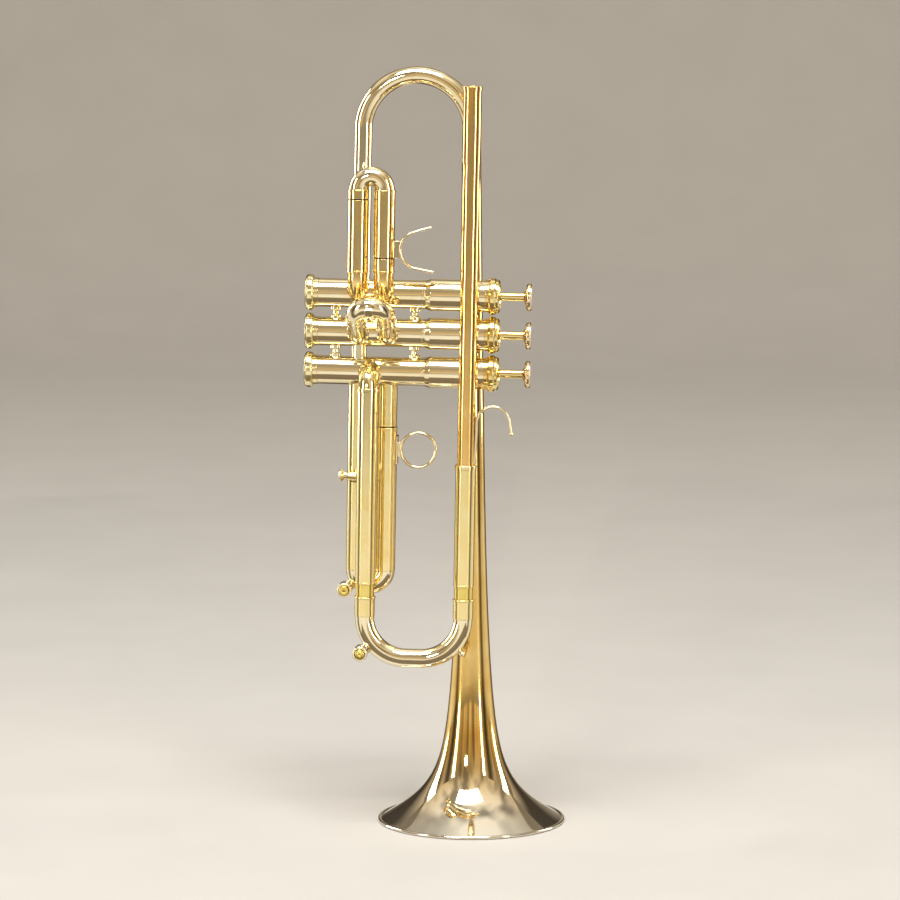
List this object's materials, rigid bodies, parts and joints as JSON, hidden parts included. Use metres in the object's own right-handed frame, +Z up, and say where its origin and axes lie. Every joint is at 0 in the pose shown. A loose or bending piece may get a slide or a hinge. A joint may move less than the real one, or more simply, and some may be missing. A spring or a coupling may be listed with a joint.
{
  "type": "trumpet",
  "caption": "Valved brass horn that stands on its flared bell, with sprung finger valves, sliding crooks and spring-loaded water keys.",
  "frame": {"origin": "centre of the bell mouth, on the plane of its rim", "axes": "+Z up along the bell towards the mouthpiece receiver, +X towards the finger buttons, -Y towards the leadpipe"},
  "size_m": [0.1683, 0.1264, 0.4946],
  "materials": {
    "silver_plate": "brass with a warm silver plate, polished to a mirror",
    "gold_trim": "gold-washed brass, polished",
    "bare_brass": "bare yellow brass, drawn tube, lightly greased",
    "nickel_alloy": "nickel-copper alloy, lapped",
    "spring_steel": "drawn spring wire",
    "pearl": "mother-of-pearl disc, polished",
    "felt": "pressed wool felt"
  },
  "bodies": {
    "root": {"bell_flare": "silver_plate", "bell_stem": "silver_plate", "bell_rim_wire": "bare_brass", "bell_bow": "silver_plate", "bell_braces": "silver_plate", "mouthpiece_receiver": "silver_plate", "leadpipe": "silver_plate", "tuning_sleeve_upper": "silver_plate", "tuning_sleeve_lower": "silver_plate", "pinky_hook": "silver_plate", "valve_casing_1": "silver_plate", "valve_casing_2": "silver_plate", "valve_casing_3": "silver_plate", "casing_braces": "silver_plate", "passage_tubes": "silver_plate", "top_caps": "gold_trim", "bottom_caps": "gold_trim", "cap_felts": "felt", "valve_guides": "bare_brass", "first_slide_ports": "silver_plate", "second_slide_ports": "silver_plate", "third_slide_ports": "silver_plate"},
    "valve_1": {"piston_1": "nickel_alloy", "valve_stem_1": "gold_trim", "valve_cork_1": "felt", "finger_button_1": "gold_trim", "button_pearl_1": "pearl", "valve_spring_1": "spring_steel"},
    "valve_2": {"piston_2": "nickel_alloy", "valve_stem_2": "gold_trim", "valve_cork_2": "felt", "finger_button_2": "gold_trim", "button_pearl_2": "pearl", "valve_spring_2": "spring_steel"},
    "valve_3": {"piston_3": "nickel_alloy", "valve_stem_3": "gold_trim", "valve_cork_3": "felt", "finger_button_3": "gold_trim", "button_pearl_3": "pearl", "valve_spring_3": "spring_steel"},
    "first_slide": {"first_slide_tubes": "silver_plate", "first_slide_crook": "silver_plate", "thumb_saddle": "silver_plate"},
    "second_slide": {"second_slide_tubes": "silver_plate", "second_slide_crook": "silver_plate", "second_slide_nib": "silver_plate"},
    "third_slide": {"third_slide_tubes": "silver_plate", "third_slide_crook": "silver_plate", "finger_ring": "silver_plate", "third_key_barrel": "silver_plate"},
    "stop_screw": {"stop_screw": "silver_plate"},
    "tuning_slide": {"tuning_slide_legs": "bare_brass", "tuning_slide_ferrules": "silver_plate", "tuning_slide_crook": "silver_plate", "tuning_pull_nib": "silver_plate", "tuning_key_barrel": "silver_plate"},
    "tuning_key": {"tuning_key_plunger": "bare_brass", "tuning_key_spring": "spring_steel"},
    "third_key": {"third_key_plunger": "bare_brass", "third_key_spring": "spring_steel"}
  },
  "joints": [
    {"name": "valve_1_press", "type": "slide", "parent": "root", "child": "valve_1", "axis": [-0.9998, 0, 0.018], "range_m": [0, 0.016], "stiffness_N_per_m": 60, "springref_m": -0.012, "deforming": ["valve_spring_1"]},
    {"name": "valve_2_press", "type": "slide", "parent": "root", "child": "valve_2", "axis": [-0.9998, 0, 0.018], "range_m": [0, 0.016], "stiffness_N_per_m": 60, "springref_m": -0.012, "deforming": ["valve_spring_2"]},
    {"name": "valve_3_press", "type": "slide", "parent": "root", "child": "valve_3", "axis": [-0.9998, 0, 0.018], "range_m": [0, 0.016], "stiffness_N_per_m": 60, "springref_m": -0.012, "deforming": ["valve_spring_3"]},
    {"name": "tuning_slide_pull", "type": "slide", "parent": "root", "child": "tuning_slide", "axis": [-0.018, 0, -0.9998], "range_m": [-0.008, 0.03]},
    {"name": "first_slide_pull", "type": "slide", "parent": "root", "child": "first_slide", "axis": [0.018, 0, 0.9998], "range_m": [0, 0.022]},
    {"name": "second_slide_pull", "type": "slide", "parent": "root", "child": "second_slide", "axis": [0.0111, -0.788, 0.6156], "range_m": [0, 0.008]},
    {"name": "third_slide_pull", "type": "slide", "parent": "root", "child": "third_slide", "axis": [-0.018, 0, -0.9998], "range_m": [0, 0.025]},
    {"name": "stop_screw_turn", "type": "hinge", "parent": "root", "child": "stop_screw", "pos_m": [-0.07984, -0.0292, 0.23197], "axis": [-0.9998, 0, 0.018], "range_deg": [-180, 180]},
    {"name": "tuning_key_press", "type": "slide", "parent": "tuning_slide", "child": "tuning_key", "axis": [0, 1, 0], "range_m": [0, 0.002], "stiffness_N_per_m": 400, "springref_m": -0.002, "deforming": ["tuning_key_spring"]},
    {"name": "third_key_press", "type": "slide", "parent": "third_slide", "child": "third_key", "axis": [0, 1, 0], "range_m": [0, 0.002], "stiffness_N_per_m": 400, "springref_m": -0.002, "deforming": ["third_key_spring"]}
  ]
}
